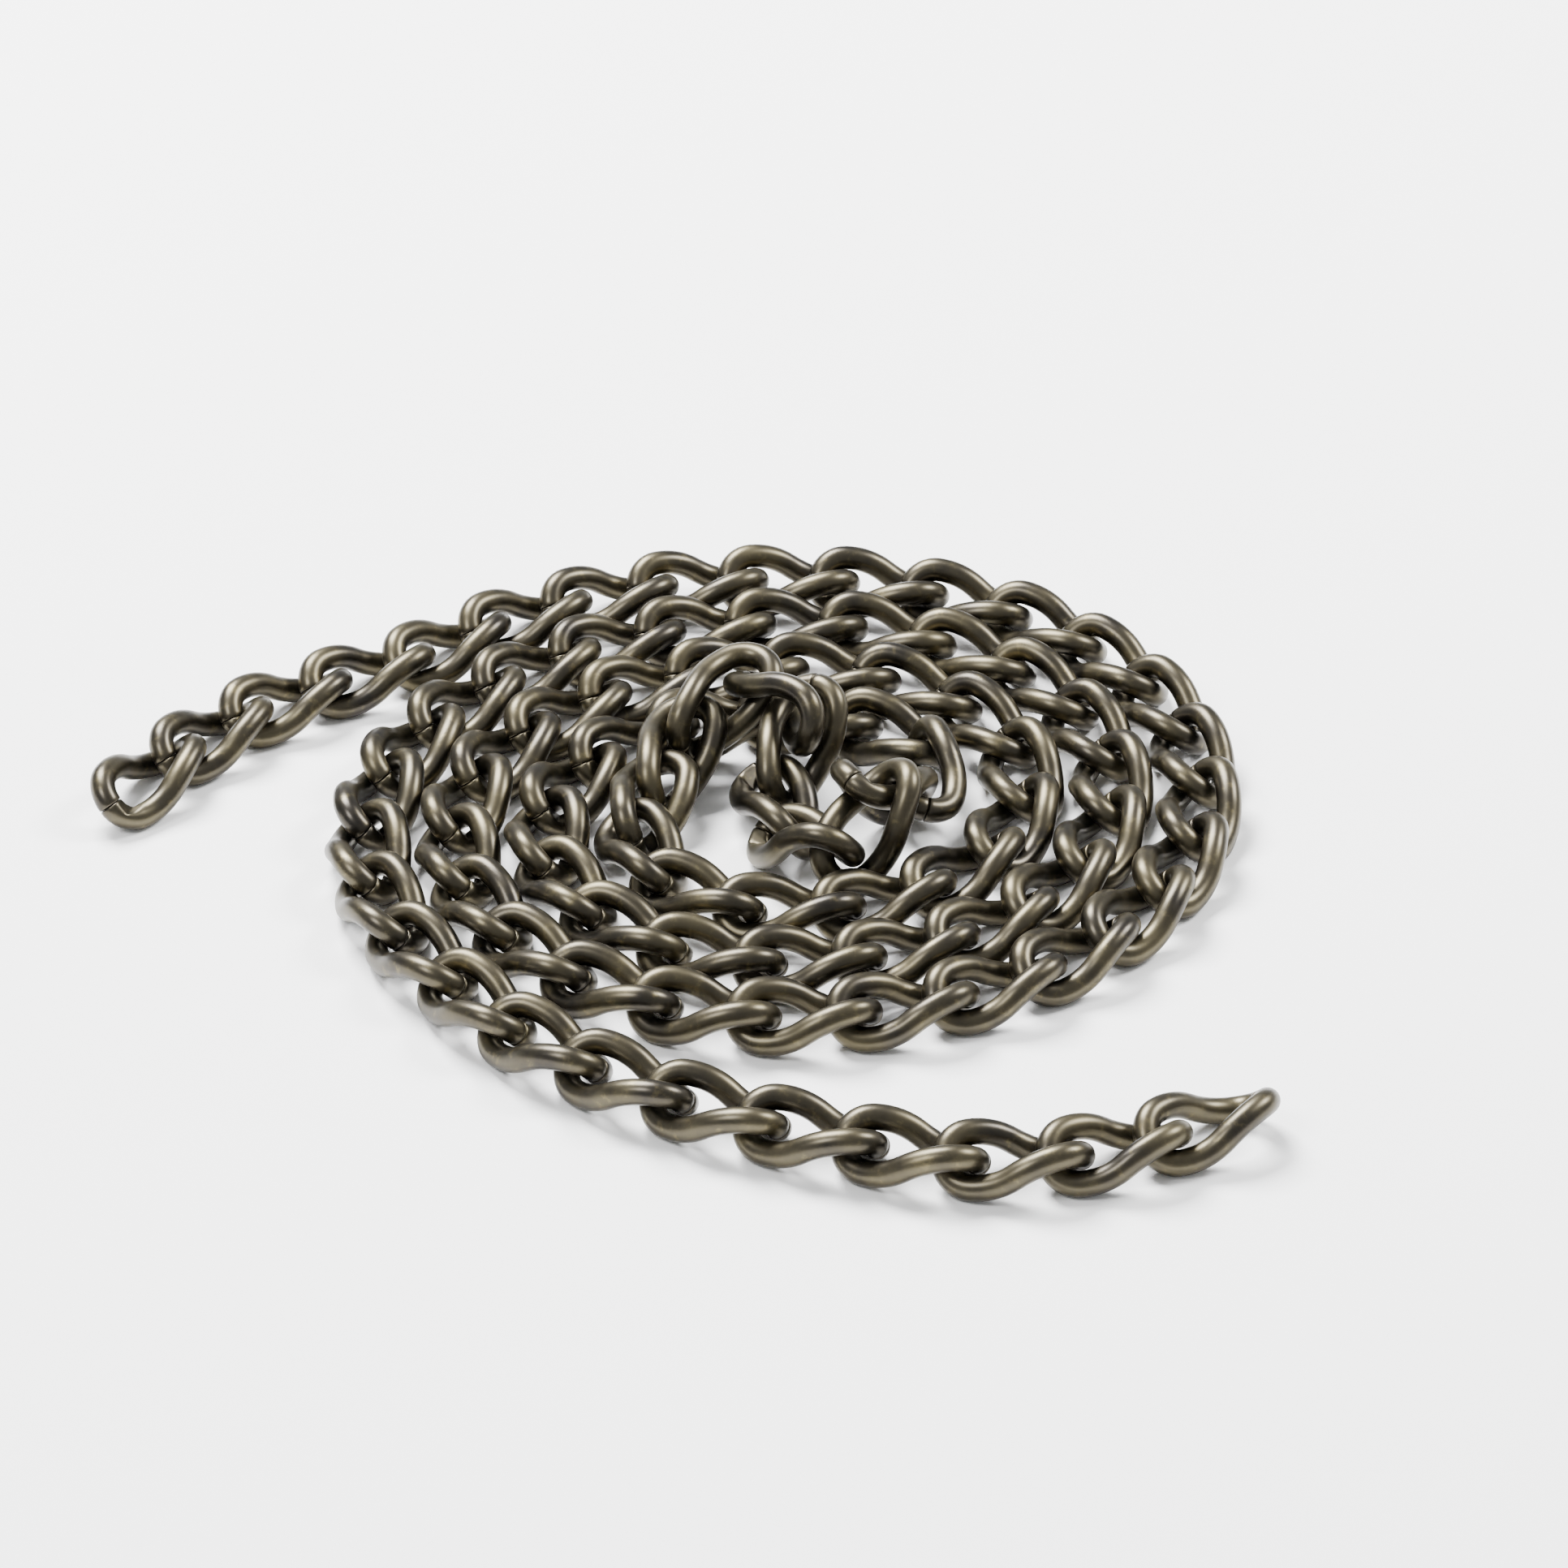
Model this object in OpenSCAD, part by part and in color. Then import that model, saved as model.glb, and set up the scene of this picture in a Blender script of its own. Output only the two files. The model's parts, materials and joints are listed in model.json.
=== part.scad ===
// Curb chain of round wire, one length folded in half and wound into a flat coil.
// Every link is the same closed wire oval, twisted about its long axis so that the chain lies flat.
// The origin is on the surface the chain lies on, at the middle of its footprint. +Z is up.

/* [Link] */
// Diameter of the round wire
wire_d = 3; // [2:0.1:3.2]
// Distance from one link to the next along the chain
pitch = 11.5; // [11.3:0.1:12]
// Length of one link over its two ends
link_l = 18.2; // [18:0.1:19]
// Width of one link over its two sides
link_w = 10.3; // [9.8:0.1:11]
// Angle that the twist turns each end of the link out of the flat
end_twist = 45; // [42:1:50]
// Slope of each side of the link at its middle
side_slope = 36; // [30:1:40]
// Width of the cut where the two ends of the wire meet
seam_w = 0.08; // [0.05:0.01:0.2]

/* [Coil] */
// Free space between one row of the coil and the next
row_gap = 0.1; // [0:0.1:2]
// Radius of the innermost half turn
eye_r = 15.8; // [15:0.1:20]
// How much longer than round the coil is from left to right
oval = 2.9; // [0:0.1:6]
// Place of the coil beside the tails, from left to right
coil_x = 0.2; // [-2:0.1:2]
// Place of the coil beside the tails, from front to back
coil_y = -5.7; // [-8:0.1:0]
// Lean of a link for each degree that the chain turns at it
lean_rate = 0.22; // [0.18:0.01:0.24]

/* [Hidden] */
$fn = 48;
// Every other stretch of the wire is drawn this much thinner and laps into its neighbours.
shoulder = 0.02;
wire_lap = 0.1;

// A bearing in degrees as a direction in the plane, and a vector of length one.
function bearing(a) = [cos(a), sin(a)];
function unit(v) = v / norm(v);

// ---- Centreline of one link -------------------------------------------------------------
// A quarter of the link runs from its tip to the middle of its side as two arcs that meet
// smoothly. Half-turns about the link's axes make the other three quarters.
half_l = (link_l - wire_d) / 2;
half_w = (link_w - wire_d) / 2;
tip = [half_l, 0, 0];
tip_dir = [0, cos(end_twist), -sin(end_twist)];
side = [0, half_w, 0];
side_dir = [-cos(side_slope), 0, sin(side_slope)];

// Length of the two equal legs of the smooth pair of arcs from point p to point q.
function legs(p, u, q, v) =
    let (run = q - p, both = u + v, k = 2 * (1 - u * v), along = run * both)
    (sqrt(along * along + k * (run * run)) - along) / k;
leg = legs(tip, tip_dir, side, side_dir);
meet = (tip + leg * tip_dir + side - leg * side_dir) / 2;
meet_dir = unit(side - leg * side_dir - tip - leg * tip_dir);

// Lowest point of the centreline, on the arc that holds the end of the link.
end_chord = meet - tip;
end_angle = 2 * acos(unit(end_chord) * tip_dir);
end_r = norm(end_chord) / 2 / sin(end_angle / 2);
end_in = unit(end_chord - (end_chord * tip_dir) * tip_dir);
function end_point(a) = tip + end_r * (sin(a) * tip_dir + (1 - cos(a)) * end_in);
low_angle = atan2(-tip_dir[2], end_in[2]);
low = end_point(low_angle);

// ---- Solids of one link -----------------------------------------------------------------
// Wire bent along the arc that leaves p in direction u and ends at q. A lap runs on past both ends.
module bent_wire(p, u, q, d, lap) {
    chord = q - p;
    angle = 2 * acos(unit(chord) * u);
    r = norm(chord) / 2 / sin(angle / 2);
    inward = unit(chord - (chord * u) * u);
    normal = cross(-inward, u);
    more = lap / r * 180 / PI;
    multmatrix([
        [-inward[0], u[0], normal[0], p[0] + r * inward[0]],
        [-inward[1], u[1], normal[1], p[1] + r * inward[1]],
        [-inward[2], u[2], normal[2], p[2] + r * inward[2]],
        [0, 0, 0, 1]])
        rotate([0, 0, -more])
            rotate_extrude(angle = angle + 2 * more)
                translate([r, 0])
                    circle(d = d);
}

// A quarter of the link. Each thin stretch laps into the full ones before and after it.
module quarter(thin_end) {
    thin_d = wire_d - shoulder;
    bent_wire(tip, tip_dir, meet, thin_end ? thin_d : wire_d, thin_end ? wire_lap : 0);
    bent_wire(meet, meet_dir, side, thin_end ? wire_d : thin_d, thin_end ? 0 : wire_lap);
}

// One link about its own centre, long axis along X. The butt cut is at the end behind.
module link() {
    difference() {
        union() {
            quarter(false);
            rotate([0, 180, 0]) quarter(true);
            rotate([0, 0, 180]) quarter(false);
            rotate([180, 0, 0]) quarter(true);
        }
        translate([-half_l, 0, 0])
            rotate([end_twist, 0, 0])
                cube([2 * wire_d, seam_w, 2 * wire_d], center = true);
    }
}

// ---- Route of the chain -----------------------------------------------------------------
row = link_w + row_gap;
right_c = [coil_x, coil_y];
left_c = right_c - [0, row];

// Half a turn of the coil: an oval arc round centre c from bearing a to bearing b.
arc_steps = 60;
function half_turn(c, r, a, b) =
    [for (i = [0:arc_steps])
        let (t = bearing(a + (b - a) * i / arc_steps))
        c + [(r + oval) * t[0], r * t[1]]];

// Points on the smooth curve that passes through every point of the list p.
curve_steps = 16;
function curve_point(a, b, c, d, t) =
    0.5 * (2 * b + (c - a) * t + (2 * a - 5 * b + 4 * c - d) * t * t + (3 * b - a - 3 * c + d) * t * t * t);
function smooth(p) =
    let (n = len(p), q = concat([2 * p[0] - p[1]], p, [2 * p[n - 1] - p[n - 2]]))
    [for (i = [0:n - 2], k = [0:curve_steps - 1])
        curve_point(q[i], q[i + 1], q[i + 2], q[i + 3], k / curve_steps)];

// The two tails, from each free end to the coil, in pitches.
tail_a = [[4.5, -6.1], [3.6, -6.6], [2.6, -6.9], [1.6, -6.9], [0.6, -6.6],
    [-0.4, -6.25], [-1.3, -5.8], [-2.2, -5.2], [-2.95, -4.5]];
tail_b = [[-6.9, -0.7], [-6.4, 0.1], [-5.8, 0.8], [-5, 1.4], [-4.1, 1.9],
    [-3.2, 2.6], [-2.3, 3.1], [-1.3, 3.45]];
join_a = 205;
join_b = 95;

// The two strands of the coil, from the outside in. Strand b has the outermost row on the right.
function turn_r(n) = eye_r + n * row;
strand_a = concat(
    smooth(concat(pitch * tail_a, [for (a = [join_a, join_a - 8]) half_turn(left_c, turn_r(3), a, a)[0]])),
    half_turn(left_c, turn_r(3), join_a - 8, 90),
    half_turn(right_c, turn_r(2), 90, -90),
    half_turn(left_c, turn_r(1), 270, 90),
    half_turn(right_c, turn_r(0), 90, -15));
strand_b = concat(
    smooth(concat(pitch * tail_b, [for (a = [join_b, join_b - 8]) half_turn(right_c, turn_r(3), a, a)[0]])),
    half_turn(right_c, turn_r(3), join_b - 8, -90),
    half_turn(left_c, turn_r(2), 270, 90),
    half_turn(right_c, turn_r(1), 90, -90),
    half_turn(left_c, turn_r(0), 270, 150));

// Pivots: points along a curve that are one pitch apart in a straight line.
function next_index(c, i, p) = i < len(c) && norm(c[i] - p) < pitch ? next_index(c, i + 1, p) : i;
function step_to(c, i, p) =
    let (a = c[i - 1], d = c[i] - a, w = a - p, m = w * d, n = d * d)
    a + d * (sqrt(m * m - n * (w * w - pitch * pitch)) - m) / n;
function pivots(c) =
    [for (p = c[0], i = next_index(c, 1, p); i < len(c); p = step_to(c, i, p), i = next_index(c, i, p)) p];

// Middle of the footprint, from the free end on the left to the outer row on the right, and
// from the front of the long tail to the back of the outer row.
overhang = (link_l - pitch) / 2;
middle_x = (strand_b[0][0] - overhang + right_c[0] + turn_r(3) + oval + link_w / 2) / 2;
middle_y = (min([for (p = strand_a) p[1]]) + right_c[1] + turn_r(3)) / 2;
function centred(c) = [for (p = c) p - [middle_x, middle_y]];

pivots_a = pivots(centred(strand_a));
pivots_b = pivots(centred(strand_b));

// Bearing of link i, and how far the chain turns at it.
function heading(p, i) = let (d = p[i + 1] - p[i]) atan2(d[1], d[0]);
function wrap(a) = a > 180 ? a - 360 : a < -180 ? a + 360 : a;
function turn_at(p, i) =
    i < 1 || i > len(p) - 2 ? 0 : wrap(heading(p, i) - heading(p, i - 1));
function link_turn(p, i) =
    i < 1 ? turn_at(p, 1) : i > len(p) - 3 ? turn_at(p, i) : (turn_at(p, i) + turn_at(p, i + 1)) / 2;

// Link i of a strand in its place, standing on the surface on its two low points.
module strand_link(p, i) {
    mid = (p[i] + p[i + 1]) / 2;
    translate([mid[0], mid[1], wire_d / 2 - low[2]])
        rotate([0, 0, heading(p, i)])
            rotate(a = -lean_rate * link_turn(p, i), v = [low[0], low[1], 0])
                link();
}

// The folded middle of the chain lies heaped inside the coil, from strand b round to strand a.
// Each of its links has its place from the middle of the footprint, then how far it heads round
// from +X, how far it rolls over and how far its front rises, in degrees.
fold = [
    [-3.1, -0.1, 3.6, 108, 8, -1],
    [-2.3, 8.7, 4.8, 75, 26, 5],
    [0.8, 16.8, 6.2, 70, 33, 19],
    [6.3, 23.6, 9.4, 45, 48, 22],
    [13.3, 21.1, 10.1, -59, -63, 8],
    [15.3, 16.6, 7.4, -112, -30, -37],
    [13.1, 8, 4.2, -74, -15, 0],
    [16.2, -0.5, 5.2, -49, -8, 21],
    [23.8, -0.2, 7.5, 45, 16, 40],
    [25.8, 7, 7.2, 52, -26, -36],
    [30.4, 14.8, 4.7, 91, -26, 1],
    [26.4, 24.2, 3.7, 144, -8, 0]];

// Link i of the fold in its place.
module fold_link(i) {
    place = fold[i];
    translate([place[0], place[1], place[2]])
        rotate([place[4], -place[5], place[3]])
            link();
}

// ---- Nodes --------------------------------------------------------------------------------
// The links of the tails, the outer row and the fold are a node each. The links between are
// nodes of three. Links are counted from the free end of their strand.
singles_a = 10;
singles_b = 17;
group = 3;
links_a = len(pivots_a) - 1;
links_b = len(pivots_b) - 1;

function two(n) = n < 10 ? str("0", n) : str(n);
function single_names(s, n) = [for (i = [1:n]) str("link_", s, two(i))];
function group_names(s, first, n) =
    [for (i = [first:group:n - 1]) str("links_", s, two(i + 1), "_", s, two(min(i + group, n)))];

module strand(s, p, singles, n, shade) {
    names = concat(single_names(s, singles), group_names(s, singles, n));
    for (k = [0:len(names) - 1]) {
        first = k < singles ? k : singles + (k - singles) * group;
        last = k < singles ? k : min(first + group, n) - 1;
        color(shade)
                for (i = [first:last])
                    strand_link(p, i);
    }
}

strand("a", pivots_a, singles_a, links_a, "#5a5444");
strand("b", pivots_b, singles_b, links_b, "#504c42");
names_c = single_names("c", len(fold));
for (k = [0:len(fold) - 1]) {
    color("#555044")
            fold_link(k);
}
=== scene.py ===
"""Curb chain of round wire, folded in half and wound into a flat coil with both free ends out.

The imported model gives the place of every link. Each link is then made again as bent wire: a
round blank is spun along the eight bends of the twisted oval, and its two ends meet in a butt
joint at one end of the link. Lengths are in metres.
"""

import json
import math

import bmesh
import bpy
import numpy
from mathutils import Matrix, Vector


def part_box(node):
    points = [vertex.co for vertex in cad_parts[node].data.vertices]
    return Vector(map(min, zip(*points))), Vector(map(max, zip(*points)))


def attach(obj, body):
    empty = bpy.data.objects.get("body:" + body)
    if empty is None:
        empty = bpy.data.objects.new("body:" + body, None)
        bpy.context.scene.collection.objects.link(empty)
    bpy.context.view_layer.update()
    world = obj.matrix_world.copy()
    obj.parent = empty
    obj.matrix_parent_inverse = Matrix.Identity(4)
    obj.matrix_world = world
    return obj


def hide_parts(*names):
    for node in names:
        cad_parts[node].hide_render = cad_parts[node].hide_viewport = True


bl_info = {
    "name": "Curb chain",
    "version": (1, 0, 0),
    "blender": (4, 5, 0),
    "location": "3D View > Sidebar > Chain",
    "description": "Bends the links of a coiled curb chain and lights it on a pale floor",
    "category": "Add Mesh",
}

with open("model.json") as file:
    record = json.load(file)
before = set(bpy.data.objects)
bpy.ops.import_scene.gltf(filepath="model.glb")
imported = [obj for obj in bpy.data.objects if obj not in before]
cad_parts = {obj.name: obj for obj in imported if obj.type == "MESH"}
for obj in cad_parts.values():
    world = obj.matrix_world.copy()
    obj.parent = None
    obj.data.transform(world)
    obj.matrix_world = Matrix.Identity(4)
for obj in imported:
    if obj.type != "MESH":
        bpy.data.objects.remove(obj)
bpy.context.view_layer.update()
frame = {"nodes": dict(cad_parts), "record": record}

MM = 0.001
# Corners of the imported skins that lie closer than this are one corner.
SAME_CORNER = 0.0001 * MM
# How far outside a free end the walk along its strand starts.
BEFORE_FREE_END = 10 * MM
# Point on the floor that the camera and the lights aim at.
VIEW_TARGET = Vector((0.0137, 0.0192, 0.0))


# ---- Small helpers -----------------------------------------------------------------------
def hex_to_linear(code):
    """An sRGB hex colour such as "5a5444" as linear red, green, blue and alpha."""
    channels = [int(code[i:i + 2], 16) / 255 for i in (0, 2, 4)]
    linear = [c / 12.92 if c <= 0.04045 else ((c + 0.055) / 1.055) ** 2.4 for c in channels]
    return (*linear, 1.0)


def add_node(tree, kind, settings=None, links=None):
    """Adds one shader node, sets its properties or inputs by name, and links its inputs."""
    node = tree.nodes.new(kind)
    for key, value in (settings or {}).items():
        if hasattr(node, key):
            setattr(node, key, value)
        else:
            node.inputs[key].default_value = value
    for key, source in (links or {}).items():
        tree.links.new(source, node.inputs[key])
    return node


def new_object(name, mesh):
    piece = bpy.data.objects.new(name, mesh)
    bpy.context.scene.collection.objects.link(piece)
    return piece


# ---- Settings that a user may change -------------------------------------------------------
class ChainLinkSettings(bpy.types.PropertyGroup):
    """Sizes of one link"""

    wire_d: bpy.props.FloatProperty(
        name="Wire diameter", description="Diameter of the round wire",
        default=3.0 * MM, min=1 * MM, subtype="DISTANCE", unit="LENGTH")
    link_l: bpy.props.FloatProperty(
        name="Link length", description="Length of one link over its two ends",
        default=18.2 * MM, min=5 * MM, subtype="DISTANCE", unit="LENGTH")
    link_w: bpy.props.FloatProperty(
        name="Link width", description="Width of one link over its two sides",
        default=10.3 * MM, min=4 * MM, subtype="DISTANCE", unit="LENGTH")
    end_twist: bpy.props.FloatProperty(
        name="End twist", description="Angle that the twist turns each end out of the flat",
        default=math.radians(45), subtype="ANGLE", unit="ROTATION")
    side_slope: bpy.props.FloatProperty(
        name="Side slope", description="Slope of each side of the link at its middle",
        default=math.radians(36), subtype="ANGLE", unit="ROTATION")
    seam: bpy.props.FloatProperty(
        name="Seam", description="Gap where the two ends of the wire meet",
        default=0.03 * MM, min=0.01 * MM, subtype="DISTANCE", unit="LENGTH")
    chamfer: bpy.props.FloatProperty(
        name="Cut edge", description="Width of the rounded edge round each cut end",
        default=0.22 * MM, min=0.02 * MM, subtype="DISTANCE", unit="LENGTH")
    flat: bpy.props.FloatProperty(
        name="Tool flat", description="Depth of the flat that the closing tool leaves by the joint",
        default=0.2 * MM, min=0.0, subtype="DISTANCE", unit="LENGTH")
    flat_l: bpy.props.FloatProperty(
        name="Tool flat length", description="How far the flat runs from the joint",
        default=2.2 * MM, min=0.0, subtype="DISTANCE", unit="LENGTH")
    sides: bpy.props.IntProperty(
        name="Wire sides", description="Faces round the wire", default=24, min=8, max=48)
    steps: bpy.props.IntProperty(
        name="Bend steps", description="Faces along each of the eight bends", default=9, min=3, max=24)


class ChainFinishSettings(bpy.types.PropertyGroup):
    """Colours of the plating"""

    bronze: bpy.props.FloatVectorProperty(
        name="Bronze", description="Body colour of the antique bronze plating",
        default=hex_to_linear("585241"), size=4, min=0, max=1, subtype="COLOR")
    dark: bpy.props.FloatVectorProperty(
        name="Patina", description="Darker patina left in patches of the plating",
        default=hex_to_linear("3a3733"), size=4, min=0, max=1, subtype="COLOR")
    rubbed: bpy.props.FloatVectorProperty(
        name="Rubbed high spots", description="Paler metal where links have rubbed together",
        default=hex_to_linear("7d7353"), size=4, min=0, max=1, subtype="COLOR")
    roughness: bpy.props.FloatProperty(
        name="Roughness", description="How satin the plating is", default=0.34, min=0, max=1,
        subtype="FACTOR")


class ChainStageSettings(bpy.types.PropertyGroup):
    """Floor, light and camera"""

    floor: bpy.props.FloatVectorProperty(
        name="Floor", description="Colour of the floor",
        default=hex_to_linear("fcfcfc"), size=4, min=0, max=1, subtype="COLOR")
    elevation: bpy.props.FloatProperty(
        name="Camera height", description="Angle of the camera above the floor",
        default=math.radians(33.75), subtype="ANGLE", unit="ROTATION")
    distance: bpy.props.FloatProperty(
        name="Camera distance", description="From the camera to the point it looks at",
        default=0.7613, min=0.1, subtype="DISTANCE", unit="LENGTH")
    lens: bpy.props.FloatProperty(
        name="Focal length", description="Focal length on a 36 mm sensor",
        default=144.4, min=10, unit="CAMERA")


# ---- Plating -------------------------------------------------------------------------------
CLOUD_SIZE = 6 * MM
SPOT_SIZE = 1.5 * MM
PIT_SIZE = 0.5 * MM
PIT_DEPTH = 0.04 * MM
# How far the roughness falls below and rises above its setting from cloud to cloud.
GLOSSIER = 0.04
DULLER = 0.06


def antique_bronze_plating():
    """Antique bronze, electroplated on drawn wire and tumbled: a dark warm metal, satin all over.
    Tumbling gives it clouds of tone and gloss a third of a link long, fine pits, and paler
    metal where it is rubbed."""
    finish = bpy.context.scene.chain_finish
    material = bpy.data.materials.new("antique_bronze_plating")
    material.use_nodes = True
    tree = material.node_tree
    tree.nodes.clear()
    place = add_node(tree, "ShaderNodeTexCoord").outputs["Object"]

    # Patina clouds. The scale of a noise is in cycles per metre.
    clouds = add_node(tree, "ShaderNodeTexNoise",
        {"Scale": 1 / CLOUD_SIZE, "Detail": 4.0, "Roughness": 0.55}, {"Vector": place})
    patina = add_node(tree, "ShaderNodeValToRGB", links={"Fac": clouds.outputs["Fac"]})
    patina.color_ramp.elements[0].position = 0.3
    patina.color_ramp.elements[0].color = finish.dark
    patina.color_ramp.elements[1].position = 0.68
    patina.color_ramp.elements[1].color = finish.bronze

    # Rubbed spots, thinly scattered.
    spots = add_node(tree, "ShaderNodeTexNoise",
        {"Scale": 1 / SPOT_SIZE, "Detail": 5.0, "Roughness": 0.6}, {"Vector": place})
    rubbed_part = add_node(tree, "ShaderNodeMapRange",
        {"From Min": 0.58, "From Max": 0.72, "To Min": 0.0, "To Max": 0.35},
        {"Value": spots.outputs["Fac"]})
    colour = add_node(tree, "ShaderNodeMix", {"data_type": "RGBA"})
    tree.links.new(rubbed_part.outputs["Result"], colour.inputs[0])
    tree.links.new(patina.outputs["Color"], colour.inputs[6])
    colour.inputs[7].default_value = finish.rubbed

    # Satin gloss that varies with the clouds.
    gloss = add_node(tree, "ShaderNodeMapRange",
        {"From Min": 0.25, "From Max": 0.75,
         "To Min": finish.roughness - GLOSSIER, "To Max": finish.roughness + DULLER},
        {"Value": clouds.outputs["Fac"]})

    # Pits from tumbling.
    pits = add_node(tree, "ShaderNodeTexNoise",
        {"Scale": 1 / PIT_SIZE, "Detail": 3.0, "Roughness": 0.6}, {"Vector": place})
    relief = add_node(tree, "ShaderNodeBump",
        {"Strength": 0.12, "Distance": PIT_DEPTH}, {"Height": pits.outputs["Fac"]})

    metal = add_node(tree, "ShaderNodeBsdfPrincipled", {"Metallic": 1.0},
        {"Base Color": colour.outputs[2], "Roughness": gloss.outputs["Result"],
         "Normal": relief.outputs["Normal"]})
    add_node(tree, "ShaderNodeOutputMaterial", links={"Surface": metal.outputs["BSDF"]})
    return material


def plating():
    return bpy.data.materials.get("antique_bronze_plating") or antique_bronze_plating()


# ---- One link ------------------------------------------------------------------------------
def smooth_legs(p, u, q, v):
    """Length of the two equal legs of the pair of arcs that runs from p along u to q along v."""
    run = q - p
    both = u + v
    k = 2 * (1 - u.dot(v))
    along = run.dot(both)
    return (math.sqrt(along * along + k * run.dot(run)) - along) / k


def bend_points(link):
    """The nine points between the eight bends, from the butt joint round to it again, and the
    direction in which the wire leaves the first."""
    half_l = (link.link_l - link.wire_d) / 2
    half_w = (link.link_w - link.wire_d) / 2
    tip = Vector((half_l, 0, 0))
    tip_dir = Vector((0, math.cos(link.end_twist), -math.sin(link.end_twist)))
    side = Vector((0, half_w, 0))
    side_dir = Vector((-math.cos(link.side_slope), 0, math.sin(link.side_slope)))
    leg = smooth_legs(tip, tip_dir, side, side_dir)
    meet = (tip + leg * tip_dir + side - leg * side_dir) / 2
    turned = {axis: Matrix.Rotation(math.pi, 3, axis) for axis in "XYZ"}
    points = [turned["Z"] @ tip, turned["Z"] @ meet, turned["Z"] @ side, turned["X"] @ meet,
              tip, meet, side, turned["Y"] @ meet, turned["Z"] @ tip]
    return points, turned["Z"] @ tip_dir


def spin_bend(bm, ring, p, u, q, steps, trim_start=0.0, trim_end=0.0):
    """Spins the ring of wire along the arc that leaves p in direction u and ends at q."""
    chord = q - p
    angle = 2 * u.angle(chord)
    radius = chord.length / 2 / math.sin(angle / 2)
    inward = (chord - chord.dot(u) * u).normalized()
    centre = p + radius * inward
    axis = u.cross(inward)
    start = trim_start / radius
    end = trim_end / radius
    if start:
        bmesh.ops.rotate(bm, verts=[g for g in ring if isinstance(g, bmesh.types.BMVert)],
            cent=centre, matrix=Matrix.Rotation(start, 3, axis))
    spun = bmesh.ops.spin(bm, geom=ring, cent=centre, axis=axis,
        angle=angle - start - end, steps=steps, use_duplicate=False)
    arrive = Matrix.Rotation(angle, 3, axis) @ u
    return spun["geom_last"], arrive


# Wire farther from the joint than this many flats is another part of the link.
FLAT_REACH = 1.6


def press_flat(bm, link, joint, along):
    """Flattens the wire on one side of the butt joint, where the closing tool pressed it. The
    flat faces up and half as much inwards."""
    inwards = Vector((1, 0, 0))
    across = along.cross(inwards)
    if across.z < 0:
        across = -across
    facing = (inwards + 2 * across).normalized()
    height = link.wire_d / 2 - link.flat
    for vert in bm.verts:
        arm = vert.co - joint
        reach = arm.dot(along)
        proud = arm.dot(facing) - height
        near = arm.length < FLAT_REACH * link.flat_l
        if 0 < reach < link.flat_l and near and proud > 0:
            vert.co -= proud * facing


def bend_link(link, name):
    """Mesh of one link about its own centre, long axis along X, butt joint at the end behind."""
    points, start_direction = bend_points(link)
    direction = start_direction
    bm = bmesh.new()
    upright = direction.to_track_quat("Z", "Y").to_matrix().to_4x4()
    blank = bmesh.ops.create_circle(bm, cap_ends=False, segments=link.sides,
        radius=link.wire_d / 2, matrix=Matrix.Translation(points[0]) @ upright)
    ring = blank["verts"] + list({e for v in blank["verts"] for e in v.link_edges})
    first_cut = blank["verts"]
    last = len(points) - 2
    for i, (p, q) in enumerate(zip(points[:-1], points[1:])):
        trim_start = link.seam / 2 if i == 0 else 0
        trim_end = link.seam / 2 if i == last else 0
        ring, direction = spin_bend(bm, ring, p, direction, q, link.steps, trim_start, trim_end)
    last_cut = [g for g in ring if isinstance(g, bmesh.types.BMVert)]

    # Close both cut ends and round their edges, as tumbling leaves them.
    cut_edges = []
    for cut in (first_cut, last_cut):
        inside = set(cut)
        edges = [e for e in bm.edges if e.verts[0] in inside and e.verts[1] in inside]
        bmesh.ops.contextual_create(bm, geom=edges)
        cut_edges += edges
    bmesh.ops.bevel(bm, geom=cut_edges, offset=link.chamfer, segments=2, profile=0.5,
        affect="EDGES", material=-1)
    press_flat(bm, link, points[0], start_direction)
    bmesh.ops.recalc_face_normals(bm, faces=bm.faces)
    for face in bm.faces:
        face.smooth = len(face.verts) <= 4
    mesh = bpy.data.meshes.new(name)
    bm.to_mesh(mesh)
    bm.free()
    return mesh


# ---- Places of the links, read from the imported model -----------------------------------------
def loose_parts(node):
    """Centres and areas of the triangles of each separate solid in a node."""
    bm = bmesh.new()
    bm.from_mesh(frame["nodes"][node].data)
    bmesh.ops.remove_doubles(bm, verts=bm.verts, dist=SAME_CORNER)
    unseen = set(bm.faces)
    parts = []
    while unseen:
        part = [unseen.pop()]
        for face in part:
            for edge in face.edges:
                for other in edge.link_faces:
                    if other in unseen:
                        unseen.remove(other)
                        part.append(other)
        centres = numpy.array([face.calc_center_median() for face in part])
        areas = numpy.array([face.calc_area() for face in part])
        parts.append((centres, areas / areas.sum()))
    bm.free()
    return parts


def part_centre(part):
    centres, share = part
    return Vector(share @ centres)


def part_place(part, behind):
    """Place of one link from its skin: its centre and its axes of symmetry, the long axis
    pointing away from the point behind."""
    centres, share = part
    centre = part_centre(part)
    arms = centres - numpy.array(centre)
    _, axes = numpy.linalg.eigh((arms * share[:, None]).T @ arms)
    long_axis = Vector(axes[:, 2])
    side_axis = Vector(axes[:, 1])
    if long_axis.dot(centre - behind) < 0:
        long_axis = -long_axis
    turn = Matrix((long_axis, side_axis, long_axis.cross(side_axis))).transposed()
    return Matrix.Translation(centre) @ turn.to_4x4()


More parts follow.
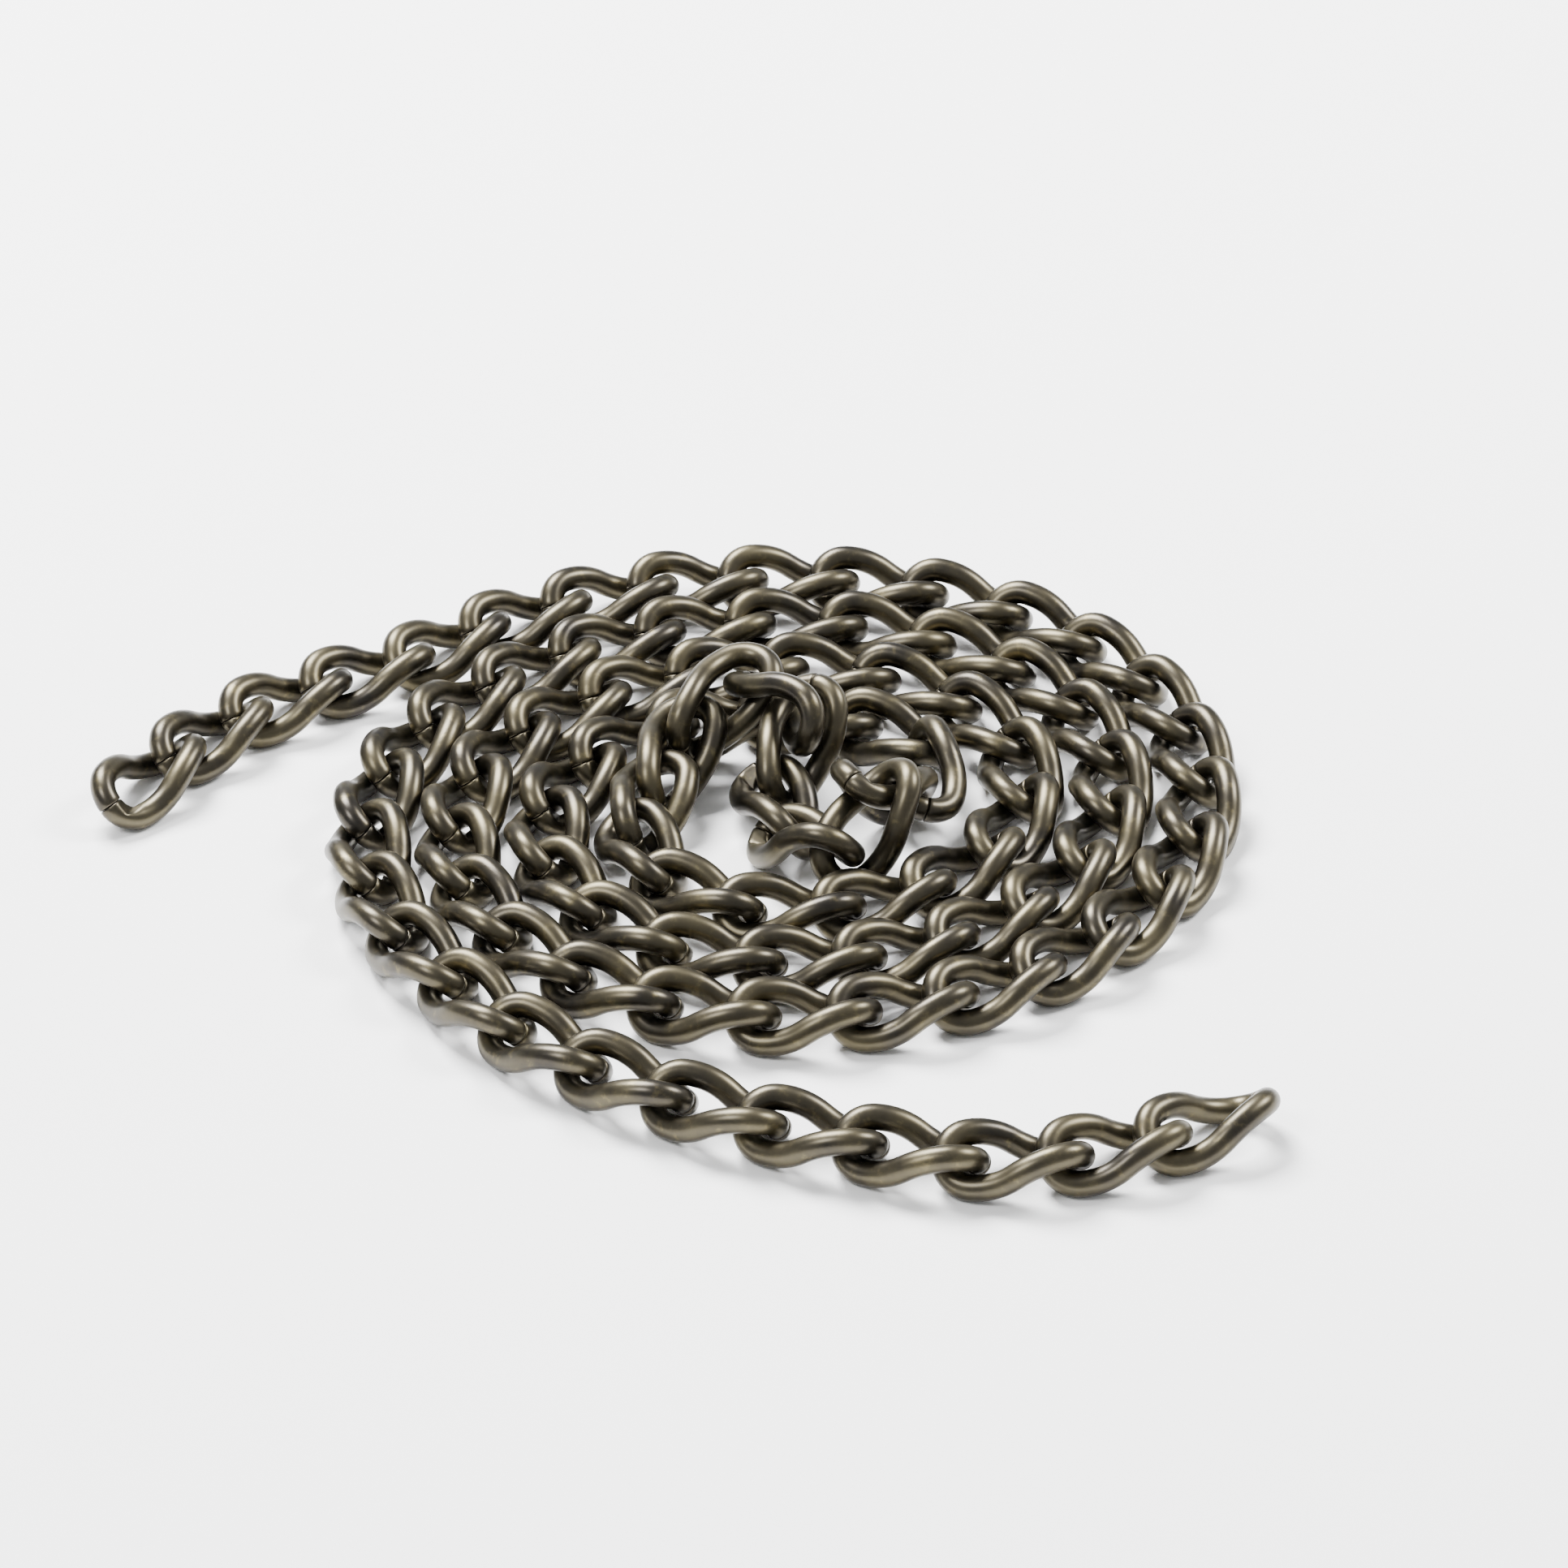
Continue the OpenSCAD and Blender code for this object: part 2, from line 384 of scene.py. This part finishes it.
def link_places(word, start):
    """Place, node and body of every link whose node's second word starts with word, in order
    along the chain from the point start."""
    groups = frame["record"]["behaviour"]["bodies"]
    body_of = {node: body for body, nodes in groups.items() for node in nodes}
    places = []
    behind = start
    for node in sorted(n for n in frame["nodes"] if n.split("_")[1].startswith(word)):
        parts = loose_parts(node)
        while parts:
            parts.sort(key=lambda part: (part_centre(part) - behind).length)
            place = part_place(parts.pop(0), behind)
            behind = place.translation.copy()
            places.append((place, node, body_of[node]))
    return places


def free_end(name):
    """A point just outside the free end of a strand, from the mount there."""
    mount = next(m for m in frame["record"]["mounts"] if m["name"] == name)
    return Vector(mount["pos_m"]) + BEFORE_FREE_END * Vector(mount["axis"])


def make_links(word, start):
    """Makes every link of one run of the chain and has it ride with its body."""
    link = bpy.context.scene.chain_link
    metal = plating()
    for number, (place, node, body) in enumerate(link_places(word, start), 1):
        name = f"wire_link_{word}{number:02d}"
        mesh = bend_link(link, name)
        mesh.transform(place)
        mesh.materials.append(metal)
        piece = new_object(name, mesh)
        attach(piece, body)
        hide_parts(node)


# ---- Operators -------------------------------------------------------------------------------
class CHAIN_OT_strand_a(bpy.types.Operator):
    """Bends the links of the strand whose free end lies at the front right"""

    bl_idname = "chain.strand_a"
    bl_label = "Strand a"

    def execute(self, context):
        make_links("a", free_end("free_end_a"))
        return {"FINISHED"}


class CHAIN_OT_strand_b(bpy.types.Operator):
    """Bends the links of the strand whose free end lies at the left"""

    bl_idname = "chain.strand_b"
    bl_label = "Strand b"

    def execute(self, context):
        make_links("b", free_end("free_end_b"))
        return {"FINISHED"}


class CHAIN_OT_fold(bpy.types.Operator):
    """Bends the links of the folded middle of the chain, heaped inside the coil"""

    bl_idname = "chain.fold"
    bl_label = "Fold"

    def execute(self, context):
        last_of_b = max(n for n in frame["nodes"] if n.startswith("links_b"))
        lowest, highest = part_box(last_of_b)
        make_links("c", (lowest + highest) / 2)
        return {"FINISHED"}


class CHAIN_OT_studio(bpy.types.Operator):
    """Lays the pale floor, hangs the soft lights and sets up the camera"""

    bl_idname = "chain.studio"
    bl_label = "Studio"

    def execute(self, context):
        stage = context.scene.chain_stage
        lay_floor(stage)
        hang_lights()
        set_camera(stage)
        return {"FINISHED"}


# ---- Studio ----------------------------------------------------------------------------------
FLOOR_HALF_WIDTH = 3.0


def lay_floor(stage):
    """A flat sheet of matt white paper, which gives soft grey contact shadows."""
    bm = bmesh.new()
    bmesh.ops.create_grid(bm, x_segments=2, y_segments=2, size=FLOOR_HALF_WIDTH)
    mesh = bpy.data.meshes.new("paper_floor")
    bm.to_mesh(mesh)
    bm.free()
    paper = bpy.data.materials.new("matt_white_paper")
    paper.use_nodes = True
    surface = paper.node_tree.nodes["Principled BSDF"]
    surface.inputs["Base Color"].default_value = stage.floor
    surface.inputs["Roughness"].default_value = 0.85
    surface.inputs["Specular IOR Level"].default_value = 0.2
    mesh.materials.append(paper)
    new_object("paper_floor", mesh)


def soft_box(name, place, size, watts):
    """A square soft box that faces the chain."""
    lamp = bpy.data.lights.new(name, "AREA")
    lamp.shape = "SQUARE"
    lamp.size = size
    lamp.energy = watts
    box = new_object(name, lamp)
    box.location = place
    box.rotation_euler = (VIEW_TARGET - box.location).to_track_quat("-Z", "Y").to_euler()


def hang_lights():
    """A white tent round the floor, with a broad box above and behind, a key at the back right
    and a fill at the front left."""
    world = bpy.data.worlds.new("tent")
    world.use_nodes = True
    background = world.node_tree.nodes["Background"]
    background.inputs["Color"].default_value = hex_to_linear("eceef0")
    background.inputs["Strength"].default_value = 0.75
    bpy.context.scene.world = world
    soft_box("top_box", Vector((-0.3, 0.5, 0.8)), 0.45, 42.0)
    soft_box("key_box", Vector((0.7, 0.25, 0.7)), 0.3, 14.0)
    soft_box("fill_box", Vector((-0.5, -0.4, 0.8)), 0.3, 7.0)


def set_camera(stage):
    """Looks down on the coil from the front."""
    lens = bpy.data.cameras.new("camera")
    lens.sensor_width = 36
    lens.lens = stage.lens
    lens.clip_start = 0.01
    camera = new_object("camera", lens)
    away = Vector((0, -math.cos(stage.elevation), math.sin(stage.elevation)))
    camera.location = VIEW_TARGET + stage.distance * away
    camera.rotation_euler = (math.pi / 2 - stage.elevation, 0, 0)
    bpy.context.scene.camera = camera


# ---- Panel and registration --------------------------------------------------------------------
class CHAIN_PT_panel(bpy.types.Panel):
    """Lists the settings and the steps that make the chain"""

    bl_idname = "CHAIN_PT_panel"
    bl_label = "Curb chain"
    bl_space_type = "VIEW_3D"
    bl_region_type = "UI"
    bl_category = "Chain"

    def draw(self, context):
        for settings in (context.scene.chain_link, context.scene.chain_finish,
                         context.scene.chain_stage):
            box = self.layout.box()
            for name in settings.__annotations__:
                box.prop(settings, name)
        for step in STEPS:
            self.layout.operator(step.bl_idname)


STEPS = (CHAIN_OT_strand_a, CHAIN_OT_strand_b, CHAIN_OT_fold, CHAIN_OT_studio)
SETTINGS = {
    "chain_link": ChainLinkSettings,
    "chain_finish": ChainFinishSettings,
    "chain_stage": ChainStageSettings,
}


def register():
    for cls in (*SETTINGS.values(), *STEPS, CHAIN_PT_panel):
        bpy.utils.register_class(cls)
    for name, cls in SETTINGS.items():
        setattr(bpy.types.Scene, name, bpy.props.PointerProperty(type=cls))


def unregister():
    for name in SETTINGS:
        delattr(bpy.types.Scene, name)
    for cls in (CHAIN_PT_panel, *reversed(STEPS), *SETTINGS.values()):
        bpy.utils.unregister_class(cls)


def main():
    register()
    bpy.ops.chain.strand_a()
    bpy.ops.chain.strand_b()
    bpy.ops.chain.fold()
    bpy.ops.chain.studio()


if __name__ == "__main__":
    main()
